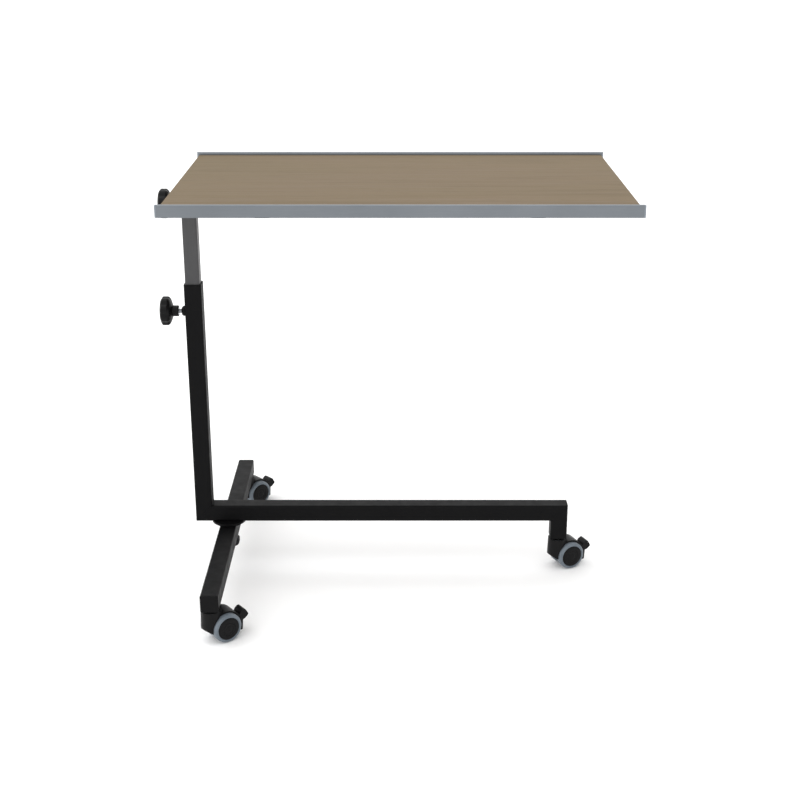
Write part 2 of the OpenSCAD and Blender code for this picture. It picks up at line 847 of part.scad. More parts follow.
column_tube();
beam_tube();
leg_tube();
leg_bush();
guide_bush();
clamp_boss();
pivot_disc();
pivot_washer();
pivot_stud();
caster_right_stem();
cross_bar_tube();
cross_bar_caps();
cross_bar_bushes();
cross_bar_sleeve();
caster_front_stem();
caster_back_stem();
inner_tube();
column_foot();
column_cap();
tilt_sleeve();
board_core();
laminate_skins();
edge_bands();
front_profile();
back_profile();
profile_caps();
tilt_rail();
rail_plate();
rail_nut();
rail_plug();
tilt_washer();
cross_straps();
strap_caps();
board_screws();
height_knob();
height_stud();
tilt_knob();
tilt_bolt();
pivot_knob();
caster_front_housing();
caster_front_pins();
caster_front_pedal();
caster_front_near_hub();
caster_front_near_tyre();
caster_front_far_hub();
caster_front_far_tyre();
caster_back_housing();
caster_back_pins();
caster_back_pedal();
caster_back_near_hub();
caster_back_near_tyre();
caster_back_far_hub();
caster_back_far_tyre();
caster_right_housing();
caster_right_pins();
caster_right_pedal();
caster_right_near_hub();
caster_right_near_tyre();
caster_right_far_hub();
caster_right_far_tyre();
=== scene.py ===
"""Looks of an overbed table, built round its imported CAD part.

Lengths are in metres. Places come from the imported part's boxes and joints, and every
piece keeps its mesh in the object's own frame, so a texture stays put when a body moves.
Colours are given out of 255, as a screen shows them.
"""

import json
import math

import bmesh
import bpy
from mathutils import Matrix, Vector

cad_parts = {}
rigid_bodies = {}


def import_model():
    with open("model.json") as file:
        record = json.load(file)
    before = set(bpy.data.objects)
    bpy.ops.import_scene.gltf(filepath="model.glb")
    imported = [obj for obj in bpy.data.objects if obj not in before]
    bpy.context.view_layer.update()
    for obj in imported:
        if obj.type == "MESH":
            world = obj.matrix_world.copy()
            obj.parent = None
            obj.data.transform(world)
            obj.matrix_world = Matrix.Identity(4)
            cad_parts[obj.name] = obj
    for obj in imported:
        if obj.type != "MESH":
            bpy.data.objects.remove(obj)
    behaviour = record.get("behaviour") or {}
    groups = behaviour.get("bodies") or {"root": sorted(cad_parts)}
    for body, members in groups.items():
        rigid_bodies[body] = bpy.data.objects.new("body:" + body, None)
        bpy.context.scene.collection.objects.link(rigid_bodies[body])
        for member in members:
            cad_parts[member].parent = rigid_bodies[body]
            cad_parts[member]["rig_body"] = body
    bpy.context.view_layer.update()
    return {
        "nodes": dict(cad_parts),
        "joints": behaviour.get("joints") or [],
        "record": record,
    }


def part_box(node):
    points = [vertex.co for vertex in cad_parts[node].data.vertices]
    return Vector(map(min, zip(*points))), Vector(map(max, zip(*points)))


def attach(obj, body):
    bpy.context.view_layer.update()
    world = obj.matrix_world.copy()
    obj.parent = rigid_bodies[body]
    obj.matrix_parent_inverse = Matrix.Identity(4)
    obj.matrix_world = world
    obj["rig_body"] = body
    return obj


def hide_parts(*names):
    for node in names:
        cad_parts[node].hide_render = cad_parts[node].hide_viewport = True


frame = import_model()
slots = {part["node"]: part["material_slot"] for part in frame["record"]["subparts"]}

MM = 0.001
UP = Vector((0, 0, 1))
ALONG_X = Vector((1, 0, 0))
ROUND_STEPS = 96

# Camera: in front of the table, above the top, looking down at it; the pitch is in degrees
CAMERA_RIGHT = 0.021
CAMERA_BACK = 2.294
CAMERA_HEIGHT = 1.1495
CAMERA_PITCH = 19.917

# Lens and sensor, in the millimetres that a camera is described by
CAMERA_LENS = 62.0
SENSOR = 36.0

# Studio: how far the floor reaches, and the way to the brightest part of the sky
FLOOR_REACH = 40
BRIGHT_SIDE = (-0.5, 0.8, 0.33)

# The one light: its power, and its width and turns round X and Y in degrees
LIGHT_ENERGY = 1.9
LIGHT_WIDTH = 110
LIGHT_PITCH = 20
LIGHT_ROLL = -24

# Rounding of the edges of tubes, plugs, thin strips, caster housings and pedals
TUBE_EDGE = 0.4 * MM
PLUG_EDGE = 0.5 * MM
STRIP_EDGE = 0.3 * MM
HOUSING_EDGE = 0.35 * MM
PEDAL_EDGE = 0.6 * MM

# Weld beads: radius, ripple and the step between two rings
BEAD_RADIUS = 1.15 * MM
BEAD_RIPPLE = 0.18 * MM
BEAD_STEP = 0.9 * MM

# Clamp knobs: radii, and heights from the hub's end towards the crown
KNOB_RADIUS = 25 * MM
KNOB_BORE = 4.3 * MM
KNOB_HUB = 9.5 * MM
KNOB_FLARE_START = 10.5 * MM
KNOB_RIM_START = 17 * MM
KNOB_RIM_END = 28 * MM
KNOB_CAP = 9 * MM
KNOB_LOBES = 8
LOBE_DEPTH = 2.2 * MM

# The share of a clamp knob's radius from which its lobes begin
LOBE_START = 0.62

# Steel ring round the screw, in a clamp knob's hub
RING_BORE = 4.05 * MM
RING_RIM = 6.4 * MM

# Threads of the two clamp screws
THREAD_PITCH = 1.25 * MM
THREAD_DEPTH = 0.55 * MM

# Pivot knob under the cross bar: radii of its bore and neck, and its finger hollows
DOME_BORE = 5.2 * MM
DOME_NECK = 10 * MM
DOME_GRIPS = 6
GRIP_DEPTH = 1.3 * MM

# Wheels: where tyre and hub begin and end along the axle, from the caster's middle plane
TYRE_NEAR = 6.2 * MM
TYRE_FAR = 22.6 * MM
HUB_NEAR = 5.3 * MM
HUB_FAR = 24 * MM

# Wheels: radii, the rounding of a tyre's shoulders and the depth of a tread line
HUB_RADIUS = 19.4 * MM
AXLE_RADIUS = 3 * MM
TYRE_SHOULDER = 4.5 * MM
TREAD_LINE = 0.25 * MM

# Brake pedals: half their width, and the radius of the caps over their pins
PEDAL_HALF = 10 * MM
PIN_CAP = 2.8 * MM


# ---------------------------------------------------------------- node helpers


def feed(tree, socket, value):
    """Gives a socket a constant, or links another node's output to it."""
    if isinstance(value, bpy.types.NodeSocket):
        tree.links.new(value, socket)
    else:
        socket.default_value = value


def add(tree, kind, inputs=None, **settings):
    """A node with its settings, whose inputs are fed by name or by number."""
    made = tree.nodes.new(kind)
    for key, value in settings.items():
        setattr(made, key, value)
    for key, value in (inputs or {}).items():
        feed(tree, made.inputs[key], value)
    return made


def linear(red, green, blue):
    """A linear colour, as shaders take it, from red, green and blue out of 255."""
    shown = [v / 255 for v in (red, green, blue)]
    return tuple(v / 12.92 if v <= 0.04045 else ((v + 0.055) / 1.055) ** 2.4 for v in shown) + (1,)


def noise(tree, scale, detail=3, distortion=0.0, stretch=(1, 1, 1)):
    """Noise from 0 to 1 in the object's own space, with scale lumps to a metre."""
    where = add(tree, "ShaderNodeTexCoord").outputs["Object"]
    sizes = tuple(scale * share for share in stretch)
    placed = add(tree, "ShaderNodeMapping", {"Vector": where, "Scale": sizes})
    inputs = {"Vector": placed.outputs["Vector"], "Scale": 1.0}
    inputs.update({"Detail": detail, "Distortion": distortion})
    return add(tree, "ShaderNodeTexNoise", inputs).outputs["Fac"]


def levels(tree, value, low, high, start=0.3, end=0.7):
    """Maps a value between start and end to the span from low to high."""
    spans = {"Value": value, "From Min": start, "From Max": end, "To Min": low, "To Max": high}
    return add(tree, "ShaderNodeMapRange", spans).outputs["Result"]


def ramp(tree, value, *stops):
    """Colours by position, as (position, colour) stops."""
    made = add(tree, "ShaderNodeValToRGB", {"Fac": value})
    while len(made.color_ramp.elements) < len(stops):
        made.color_ramp.elements.new(0.5)
    for element, (position, colour) in zip(made.color_ramp.elements, stops):
        element.position = position
        element.color = colour
    return made.outputs["Color"]


def blend(tree, share, first, second):
    """Two colours mixed by a share from 0 to 1."""
    # The node keeps its colours on inputs 6 and 7 and on output 2
    made = add(tree, "ShaderNodeMix", {0: share, 6: first, 7: second}, data_type="RGBA")
    return made.outputs[2]


def bump(tree, height, distance, normal=None):
    """A normal raised by a height from 0 to 1 times the distance."""
    inputs = {"Height": height, "Distance": distance, "Strength": 1.0}
    if normal is not None:
        inputs["Normal"] = normal
    return add(tree, "ShaderNodeBump", inputs).outputs["Normal"]


def edge_mask(tree, radius):
    """Close to 1 along a piece's edges and 0 on its flats."""
    softer = add(tree, "ShaderNodeBevel", {"Radius": radius}, samples=4).outputs["Normal"]
    true = add(tree, "ShaderNodeNewGeometry").outputs["Normal"]
    alike = add(tree, "ShaderNodeVectorMath", {0: softer, 1: true}, operation="DOT_PRODUCT")
    return levels(tree, alike.outputs["Value"], 1.0, 0.0, 0.8, 0.99)


def material(name, **sockets):
    """A material with one Principled shader, with constant values on its own sockets."""
    made = bpy.data.materials.new(name)
    made.use_nodes = True
    made.node_tree.nodes.clear()
    shader = add(made.node_tree, "ShaderNodeBsdfPrincipled")
    for socket, value in sockets.items():
        shader.inputs[socket.replace("_", " ")].default_value = value
    add(made.node_tree, "ShaderNodeOutputMaterial", {"Surface": shader.outputs["BSDF"]})
    return made, made.node_tree, shader


def connect(tree, shader, colour, roughness, normal):
    """Links the three detailed channels of a finish to its shader."""
    tree.links.new(colour, shader.inputs["Base Color"])
    tree.links.new(roughness, shader.inputs["Roughness"])
    tree.links.new(normal, shader.inputs["Normal"])


# ---------------------------------------------------------------- finishes


def black_powder_coat():
    """Satin black powder coat: orange peel, faint blotches, rubbed edges."""
    made, tree, shader = material("black_powder_coat", Specular_IOR_Level=0.09)
    blotches = noise(tree, 14, 4)
    worn = blend(tree, edge_mask(tree, 0.6 * MM), linear(9, 9, 10), linear(20, 20, 21))
    colour = blend(tree, levels(tree, blotches, 0, 0.5), worn, linear(13, 13, 14))
    peel = bump(tree, noise(tree, 850, 2), 0.03 * MM)
    connect(tree, shader, colour, levels(tree, noise(tree, 60, 4), 0.46, 0.58), peel)
    return made


def grey_powder_coat():
    """Satin mid-grey coat with the fine upright rub marks of a sliding tube."""
    made, tree, shader = material("grey_powder_coat", Metallic=0.2, Specular_IOR_Level=0.3)
    drift = noise(tree, 10, 3)
    rubs = noise(tree, 900, 2, stretch=(1, 1, 0.006))
    base = blend(tree, levels(tree, drift, 0, 1), linear(66, 66, 67), linear(72, 72, 73))
    colour = blend(tree, levels(tree, rubs, 0, 0.35, 0.55, 0.75), base, linear(88, 88, 89))
    grained = bump(tree, rubs, 0.012 * MM)
    connect(tree, shader, colour, levels(tree, rubs, 0.4, 0.52), grained)
    return made


def zinc_steel():
    """Bright zinc plate: spangled, a little blue, duller in patches."""
    made, tree, shader = material("zinc_steel", Metallic=1.0)
    spangle = noise(tree, 260, 4, 0.6)
    colour = ramp(tree, spangle, (0.3, linear(176, 180, 186)), (0.7, linear(206, 208, 210)))
    pitted = bump(tree, noise(tree, 1600, 3), 0.01 * MM)
    connect(tree, shader, colour, levels(tree, spangle, 0.22, 0.4), pitted)
    return made


def black_nylon():
    """Moulded nylon: matt, slightly greyer where it was rubbed."""
    made, tree, shader = material("black_nylon", Specular_IOR_Level=0.1)
    cloud = noise(tree, 40, 4)
    worn = blend(tree, edge_mask(tree, 0.5 * MM), linear(11, 11, 12), linear(22, 22, 23))
    colour = blend(tree, levels(tree, cloud, 0, 0.6), worn, linear(17, 17, 18))
    grain = bump(tree, noise(tree, 2400, 2), 0.02 * MM)
    connect(tree, shader, colour, levels(tree, cloud, 0.5, 0.62), grain)
    return made


def black_moulding():
    """Spark-eroded black plastic of the knobs and casters, with scuffed edges."""
    made, tree, shader = material("black_moulding", Specular_IOR_Level=0.13)
    cloud = noise(tree, 55, 4)
    worn = blend(tree, edge_mask(tree, 0.7 * MM), linear(11, 11, 12), linear(20, 20, 21))
    colour = blend(tree, levels(tree, cloud, 0, 0.5), worn, linear(15, 15, 16))
    grain = bump(tree, noise(tree, 1900, 3), 0.03 * MM)
    connect(tree, shader, colour, levels(tree, noise(tree, 120, 3), 0.36, 0.5), grain)
    return made


def tyre_grey():
    """Soft blue-grey tread, dusty in patches, with fine moulding grain."""
    made, tree, shader = material("tyre_grey", Specular_IOR_Level=0.35, Sheen_Weight=0.15)
    dust = noise(tree, 90, 5, 0.4)
    scuffs = noise(tree, 420, 3)
    base = ramp(tree, dust, (0.3, linear(90, 99, 108)), (0.7, linear(101, 110, 118)))
    colour = blend(tree, levels(tree, scuffs, 0, 0.3, 0.5, 0.75), base, linear(116, 122, 127))
    grain = bump(tree, noise(tree, 1500, 3), 0.03 * MM)
    connect(tree, shader, colour, levels(tree, dust, 0.42, 0.6), grain)
    return made


def wood_colour(tree, grain):
    """Greige timber: broad drift, long fibres and short dark pores along the grain."""
    drift = noise(tree, 5, 3, 0.8, stretch=grain(0.3))
    fibres = noise(tree, 170, 5, 0.5, stretch=grain(0.02))
    streaks = noise(tree, 42, 4, 1.4, stretch=grain(0.05))
    pores = noise(tree, 760, 2, stretch=grain(0.03))
    tones = ((0.25, linear(106, 93, 71)), (0.5, linear(110, 96, 76)), (0.75, linear(112, 97, 80)))
    base = ramp(tree, drift, *tones)
    veined = blend(tree, levels(tree, streaks, 0, 0.55, 0.5, 0.72), base, linear(93, 80, 61))
    fibred = blend(tree, levels(tree, fibres, 0, 0.4), veined, linear(121, 108, 87))
    dark = levels(tree, pores, 0, 0.5, 0.62, 0.75)
    return blend(tree, dark, fibred, linear(76, 65, 49)), fibres, pores


def wood_finish(name, grain):
    """Wood-grain laminate whose grain runs the way that grain() stretches it."""
    made, tree, shader = material(name, Specular_IOR_Level=0.06)
    colour, fibres, pores = wood_colour(tree, grain)
    combed = bump(tree, fibres, 0.02 * MM)
    pitted = bump(tree, levels(tree, pores, 1, 0, 0.6, 0.75), 0.03 * MM, combed)
    connect(tree, shader, colour, levels(tree, fibres, 0.54, 0.68), pitted)
    return made


def wood_laminate():
    """The board's decor, with its grain along the top."""
    return wood_finish("wood_laminate", lambda share: (share, 1, 1))


def edge_band():
    """The decor strip on a short edge, with its grain along that edge."""
    return wood_finish("edge_band", lambda share: (1, share, 1))


def chipboard():
    """Pressed wood chips in several tones."""
    made, tree, shader = material("chipboard", Specular_IOR_Level=0.2)
    where = add(tree, "ShaderNodeTexCoord").outputs["Object"]
    chips = add(tree, "ShaderNodeTexVoronoi", {"Vector": where, "Scale": 420.0, "Randomness": 1.0})
    tone = add(tree, "ShaderNodeSeparateColor", {"Color": chips.outputs["Color"]}).outputs["Red"]
    colour = ramp(tree, tone, (0.1, linear(150, 118, 78)), (0.9, linear(204, 176, 132)))
    rough = bump(tree, chips.outputs["Distance"], 0.3 * MM)
    connect(tree, shader, colour, levels(tree, tone, 0.75, 0.95, 0, 1), rough)
    return made


def satin_aluminium():
    """Satin anodised extrusion with drawing lines along its length."""
    made, tree, shader = material("satin_aluminium", Metallic=0.55, Anisotropic=0.3)
    lines = noise(tree, 2600, 3, stretch=(0.004, 1, 1))
    drift = noise(tree, 9, 3)
    base = blend(tree, levels(tree, drift, 0, 1), linear(106, 111, 116), linear(114, 119, 124))
    colour = blend(tree, levels(tree, lines, 0, 0.35, 0.5, 0.75), base, linear(132, 137, 141))
    drawn = bump(tree, lines, 0.008 * MM)
    connect(tree, shader, colour, levels(tree, lines, 0.34, 0.48), drawn)
    return made


def grey_plastic():
    """Moulded grey caps, close to the aluminium in colour."""
    made, tree, shader = material("grey_plastic", Specular_IOR_Level=0.4)
    cloud = noise(tree, 150, 4)
    worn = blend(tree, edge_mask(tree, 0.4 * MM), linear(122, 129, 136), linear(146, 151, 157))
    colour = blend(tree, levels(tree, cloud, 0, 0.5), worn, linear(132, 138, 144))
    grain = bump(tree, noise(tree, 2200, 2), 0.02 * MM)
    connect(tree, shader, colour, levels(tree, cloud, 0.42, 0.55), grain)
    return made


FINISHES = (
    black_powder_coat,
    grey_powder_coat,
    zinc_steel,
    black_nylon,
    black_moulding,
    tyre_grey,
    wood_laminate,
    edge_band,
    chipboard,
    satin_aluminium,
    grey_plastic,
)


# ---------------------------------------------------------------- mesh helpers


def rounded(outline, radius, steps=3):
    """The outline with every corner between its two ends cut back by up to the radius."""
    points = [Vector(p) for p in outline]
    soft = [points[0]]
    for before, corner, after in zip(points, points[1:], points[2:]):
        cut = min(radius, 0.45 * (before - corner).length, 0.45 * (after - corner).length)
        start = corner + (before - corner).normalized() * cut
        end = corner + (after - corner).normalized() * cut
        for i in range(steps + 1):
            t = i / steps
            soft.append(start * (1 - t) ** 2 + corner * 2 * t * (1 - t) + end * t**2)
    return soft + [points[-1]]


def arc(x, y, radius, start, end, steps=8):
    """Points on part of a circle, from one angle in degrees to another."""
    angles = [math.radians(start + (end - start) * i / steps) for i in range(steps + 1)]
    return [(x + radius * math.cos(a), y + radius * math.sin(a)) for a in angles]


def held(value):
    """A value held between 0 and 1."""
    return max(0.0, min(1.0, value))


def ring_at(mesh, place, radius, height, shape, steps):
    """A ring of vertices round the place's own axis, or one vertex where it closes."""
    if radius < 1e-6:
        return [mesh.verts.new(place @ Vector((0, 0, height)))]
    ring = []
    for i in range(steps):
        angle = 2 * math.pi * i / steps
        reach = shape(angle, radius, height)
        point = Vector((reach * math.cos(angle), reach * math.sin(angle), height))
        ring.append(mesh.verts.new(place @ point))
    return ring


def join_rings(mesh, first, second):
    """Faces between two rings, either of which may be one vertex."""
    count = max(len(first), len(second))
    for i in range(count):
        corners = [first[i % len(first)], second[i % len(second)]]
        corners += [second[(i + 1) % len(second)], first[(i + 1) % len(first)]]
        unique = [v for k, v in enumerate(corners) if v not in corners[:k]]
        if len(unique) > 2:
            mesh.faces.new(unique)


def plain(angle, radius, height):
    """The shape of a round turned piece."""
    return radius


def turned(name, outline, place, shape=plain, closed=False, steps=ROUND_STEPS):
    """A piece whose (radius, height) outline goes round the place's own axis."""
    mesh = bmesh.new()
    rings = [ring_at(mesh, place, r, h, shape, steps) for r, h in outline]
    for first, second in zip(rings, rings[1:]):
        join_rings(mesh, first, second)
    if closed:
        join_rings(mesh, rings[-1], rings[0])
    return object_from(name, mesh)


def object_from(name, mesh, sharp=40):
    """A smooth-shaded object that keeps the edges sharper than that angle crisp."""
    bmesh.ops.recalc_face_normals(mesh, faces=mesh.faces)
    for face in mesh.faces:
        face.smooth = True
    for edge in mesh.edges:
        edge.smooth = edge.calc_face_angle(0) < math.radians(sharp)
    data = bpy.data.meshes.new(name)
    mesh.to_mesh(data)
    mesh.free()
    made = bpy.data.objects.new(name, data)
    bpy.context.scene.collection.objects.link(made)
    weights = made.modifiers.new("even_normals", "WEIGHTED_NORMAL")
    weights.keep_sharp = True
    return made


def softened(node, width, sharp=35):
    """A copy of a CAD node's shape with its edges rounded where they are sharper than that angle."""
    mesh = bmesh.new()
    mesh.from_mesh(frame["nodes"][node].data)
    bmesh.ops.remove_doubles(mesh, verts=mesh.verts, dist=0.002 * MM)
    flat = math.radians(0.5)
    bmesh.ops.dissolve_limit(mesh, angle_limit=flat, verts=mesh.verts, edges=mesh.edges)
    hard = [e for e in mesh.edges if e.is_manifold and e.calc_face_angle(0) > math.radians(sharp)]
    rounding = {"offset": width, "segments": 2, "profile": 0.5, "clamp_overlap": True}
    bmesh.ops.bevel(mesh, geom=hard, affect="EDGES", **rounding)
    return object_from(f"{node}_finished", mesh, 50)


def ring_across(mesh, path, index, radius, closed, sides=12):
    """A ring of vertices square to a path at one of its points."""
    point = path[index]
    before = path[index - 1] if index or closed else point
    after = path[(index + 1) % len(path)] if index + 1 < len(path) or closed else point
    ahead = (after - before).normalized()
    square = ahead.orthogonal() if abs(ahead.z) > 0.9 else ahead.cross(UP)
    across = square.normalized()
    over = across.cross(ahead)
    ring = []
    for k in range(sides):
        angle = 2 * math.pi * k / sides
        outward = across * math.cos(angle) + over * math.sin(angle)
        ring.append(mesh.verts.new(point + outward * radius))
    return ring


def tube_along(name, path, radius_at, closed=False):
    """A round rod along a path, with its own radius at each point."""
    mesh = bmesh.new()
    rings = [ring_across(mesh, path, i, radius_at(i), closed) for i in range(len(path))]
    for first, second in zip(rings, rings[1:]):
        join_rings(mesh, first, second)
    if closed:
        join_rings(mesh, rings[-1], rings[0])
    else:
        mesh.faces.new(rings[0])
        mesh.faces.new(rings[-1])
    return object_from(name, mesh)


def facing(origin, outward):
    """A place whose own Z axis points outward, with its X axis up, or along X where Z is upright."""
    z = outward.normalized()
    x = UP if abs(z.z) < 0.9 else ALONG_X
    y = z.cross(x).normalized()
    x = y.cross(z).normalized()
    return Matrix.Translation(origin) @ Matrix((x, y, z)).transposed().to_4x4()


def middle(node):
    """The middle of a CAD node's box."""
    low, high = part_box(node)
    return (low + high) / 2


def span(node, axis):
    """How far a CAD node reaches along an axis of the object's frame."""
    low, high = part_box(node)
    return high[axis] - low[axis]


# ---------------------------------------------------------------- placing pieces


def body_of(node):
    """The name of the body that a CAD node rides on."""
    return frame["nodes"][node]["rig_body"]


def paint(piece, slot):
    """Gives a piece the finish of one of the record's material slots."""
    piece.data.materials.clear()
    piece.data.materials.append(materials[slot])


def stand_in(piece, node):
    """The piece takes the place, the body and the finish of a CAD node."""
    paint(piece, slots[node])
    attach(piece, body_of(node))
    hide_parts(node)


def detail(piece, node, slot=None):
    """An added piece that rides with a CAD node and leaves it shown."""
    paint(piece, slot or slots[node])
    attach(piece, body_of(node))


# ---------------------------------------------------------------- knobs and screws


def lobe_share(angle, lobes):
    """From 1 in the middle of the hollow between two lobes to 0 on top of a lobe."""
    wave = 0.5 + 0.5 * math.cos(lobes * angle)
    return wave**1.7


def lobed(angle, radius, height):
    """The shape of a clamp knob: round at its hub, hollowed between lobes at its rim."""
    outer = held((radius / KNOB_RADIUS - LOBE_START) / (1 - LOBE_START))
    return radius - LOBE_DEPTH * outer**1.5 * lobe_share(angle, KNOB_LOBES)


def knob_outline(length):
    """Hub, flare, rim and domed crown of a clamp knob, from its bore to its centre."""
    rim = KNOB_RADIUS
    hub = [(KNOB_BORE, 1.2 * MM), (KNOB_BORE, 0), (KNOB_HUB, 0), (KNOB_HUB, KNOB_FLARE_START)]
    flare = [(0.56 * rim, KNOB_FLARE_START + 0.8 * MM), (0.86 * rim, KNOB_RIM_START - 3 * MM)]
    side = [(rim, KNOB_RIM_START + 0.5 * MM), (rim, KNOB_RIM_END - 0.5 * MM)]
    crown = [(0.8 * rim, length - 2.2 * MM), (KNOB_CAP + 1.4 * MM, length - 0.7 * MM)]
    groove = [(KNOB_CAP + 1.1 * MM, length - 1.5 * MM), (KNOB_CAP + 0.3 * MM, length - 1.5 * MM)]
    cap = [(KNOB_CAP, length - 0.6 * MM), (0.5 * KNOB_CAP, length - 0.1 * MM), (0, length)]
    return rounded(hub + flare + side + crown + groove + cap, 1.5 * MM, 4)


def clamp_knob(node):
    """A lobed knob whose crown points away from the column, with a steel ring in its hub."""
    low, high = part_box(node)
    centre = (low + high) / 2
    place = facing(Vector((high.x, centre.y, centre.z)), -ALONG_X)
    made = turned(f"{node}_moulded", knob_outline(high.x - low.x), place, lobed, steps=192)
    stand_in(made, node)
    proud = [(RING_BORE, -0.1 * MM), (RING_RIM - 0.2 * MM, -0.1 * MM)]
    sunk = [(RING_RIM, 0.2 * MM), (RING_BORE, 0.2 * MM)]
    detail(turned(f"{node}_insert", proud + sunk, place, closed=True), node, "zinc_steel")


def threaded(length, radius):
    """The shape of a screw thread that fades out at both ends."""

    def shape(angle, own_radius, height):
        if own_radius < 0.9 * radius:
            return own_radius
        turn = (height / THREAD_PITCH - angle / (2 * math.pi)) % 1
        tooth = min(1.0, 2.4 * abs(turn - 0.5))
        fade = held(min(height, length - height) / THREAD_PITCH)
        return own_radius - THREAD_DEPTH * tooth * fade

    return shape


def threaded_rod(node):
    """A screw along X with a rolled thread."""
    low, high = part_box(node)
    centre = (low + high) / 2
    radius = (high.z - low.z) / 2
    length = high.x - low.x
    rows = int(length / THREAD_PITCH * 8)
    flank = [(radius, length * i / rows) for i in range(rows + 1)]
    tip = 0.7 * radius
    outline = [(0, 0), (tip, 0)] + flank + [(tip, length), (0, length)]
    place = facing(Vector((low.x, centre.y, centre.z)), ALONG_X)
    stand_in(turned(f"{node}_threaded", outline, place, threaded(length, radius), steps=48), node)


def gripped(rim):
    """The shape of the pivot knob: six shallow finger hollows round its rim."""

    def shape(angle, radius, height):
        outer = held((radius - 0.7 * rim) / (0.3 * rim))
        return radius - GRIP_DEPTH * outer * lobe_share(angle, DOME_GRIPS)

    return shape


def pivot_knob():
    """The domed knob that hangs under the cross bar."""
    low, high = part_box("pivot_knob")
    centre = (low + high) / 2
    rim = (high.y - low.y) / 2
    height = high.z - low.z
    skirt = height / 2
    neck = [(DOME_BORE, 1 * MM), (DOME_BORE, 0), (DOME_NECK, 0), (DOME_NECK, 2 * MM)]
    brim = [(rim - 1 * MM, 3 * MM), (rim, 4.2 * MM), (rim, skirt)]
    slopes = [math.radians(degrees) for degrees in range(9, 90, 9)]
    dome = [(rim * math.cos(a), skirt + skirt * math.sin(a)) for a in slopes]
    outline = rounded(neck + brim + dome + [(0, height)], 0.8 * MM)
    place = facing(Vector((centre.x, centre.y, high.z)), -UP)
    stand_in(turned("pivot_knob_moulded", outline, place, gripped(rim)), "pivot_knob")


# ---------------------------------------------------------------- casters


def joint(name):
    """One of the record's joints, by name."""
    return next(j for j in frame["joints"] if j["name"] == name)


def wheel_place(corner, side):
    """The caster's middle on its axle, facing out through one of its two wheels."""
    opposite = "near" if side == "far" else "far"
    own = Vector(joint(f"wheel_{corner}_{side}")["pos_m"])
    other = Vector(joint(f"wheel_{corner}_{opposite}")["pos_m"])
    return facing((own + other) / 2, own - other)


def tread_line(tread, share):
    """Section of a fine line round the tread, at a share of the tyre's width."""
    at = TYRE_NEAR + share * (TYRE_FAR - TYRE_NEAR)
    sunk = tread - TREAD_LINE
    line = [(tread, at - 2 * TREAD_LINE), (sunk, at - TREAD_LINE)]
    return line + [(sunk, at + TREAD_LINE), (tread, at + 2 * TREAD_LINE)]


def tyre_outline(tread):
    """A tyre's section: rounded shoulders, a shallow bead and two fine tread lines."""
    bead = HUB_RADIUS + 0.05 * MM
    round_from = tread - TYRE_SHOULDER
    near = [(bead, TYRE_NEAR + 0.6 * MM), (bead + 0.8 * MM, TYRE_NEAR)]
    near += arc(round_from, TYRE_NEAR + TYRE_SHOULDER, TYRE_SHOULDER, -90, 0)
    far = arc(round_from, TYRE_FAR - TYRE_SHOULDER, TYRE_SHOULDER, 0, 90)
    far += [(bead + 0.8 * MM, TYRE_FAR), (bead, TYRE_FAR - 0.6 * MM)]
    return near + tread_line(tread, 0.36) + tread_line(tread, 0.64) + far


def hub_outline():
    """A hub's section: a domed face with a ring groove and a raised axle cap."""
    back = [(AXLE_RADIUS + 0.1 * MM, HUB_NEAR), (HUB_RADIUS - 1 * MM, HUB_NEAR)]
    rim = [(HUB_RADIUS, HUB_NEAR + 1 * MM), (HUB_RADIUS, HUB_FAR - 2.4 * MM)]
    rim += [(HUB_RADIUS - 1.3 * MM, HUB_FAR - 0.9 * MM)]
    face = [(0.8 * HUB_RADIUS, HUB_FAR - 0.4 * MM), (0.6 * HUB_RADIUS, HUB_FAR - 0.15 * MM)]
    groove = [(0.58 * HUB_RADIUS, HUB_FAR - 0.9 * MM), (0.54 * HUB_RADIUS, HUB_FAR - 0.9 * MM)]
    inner = [(0.52 * HUB_RADIUS, HUB_FAR - 0.35 * MM), (0.27 * HUB_RADIUS, HUB_FAR - 0.6 * MM)]
    cap = [(0.24 * HUB_RADIUS, HUB_FAR - 0.1 * MM), (0.1 * HUB_RADIUS, HUB_FAR), (0, HUB_FAR)]
    return rounded(back + rim + face + groove + inner + cap, 0.8 * MM)


def wheel(corner, side):
    """One wheel of a twin-wheel caster: its hub and its tyre."""
    place = wheel_place(corner, side)
    tread = span(f"caster_{corner}_{side}_tyre", 2) / 2
    name = f"caster_{corner}_{side}"
    tyre = turned(f"{name}_tyre_moulded", tyre_outline(tread), place, closed=True)
    hub = turned(f"{name}_hub_moulded", hub_outline(), place)
    stand_in(tyre, f"{name}_tyre")
    stand_in(hub, f"{name}_hub")


def pin_caps(corner):
    """Low black caps that close the pedal's two pin holes."""
    pedal = joint(f"pedal_{corner}")
    axle = Vector(pedal["axis"])
    dome = [(0, 0), (PIN_CAP, 0), (PIN_CAP, 0.3 * MM), (0.7 * PIN_CAP, 0.7 * MM), (0, 0.9 * MM)]
    for side, way in (("near", -axle), ("far", axle)):
        place = facing(Vector(pedal["pos_m"]) + way * PEDAL_HALF, way)
        name = f"caster_{corner}_pedal_cap_{side}"
        detail(turned(name, rounded(dome, 0.3 * MM), place, steps=32), f"caster_{corner}_pedal")


def caster(corner):
    """A braked twin-wheel caster."""
    for side in ("near", "far"):
        wheel(corner, side)
    for node, width in (("housing", HOUSING_EDGE), ("pedal", PEDAL_EDGE)):
        name = f"caster_{corner}_{node}"
        stand_in(softened(name, width), name)
    pin_caps(corner)


# ---------------------------------------------------------------- frame details


def bead_radius(index):
    """A weld bead's radius, which ripples along its length."""
    return BEAD_RADIUS + BEAD_RIPPLE * math.sin(index * 1.9)


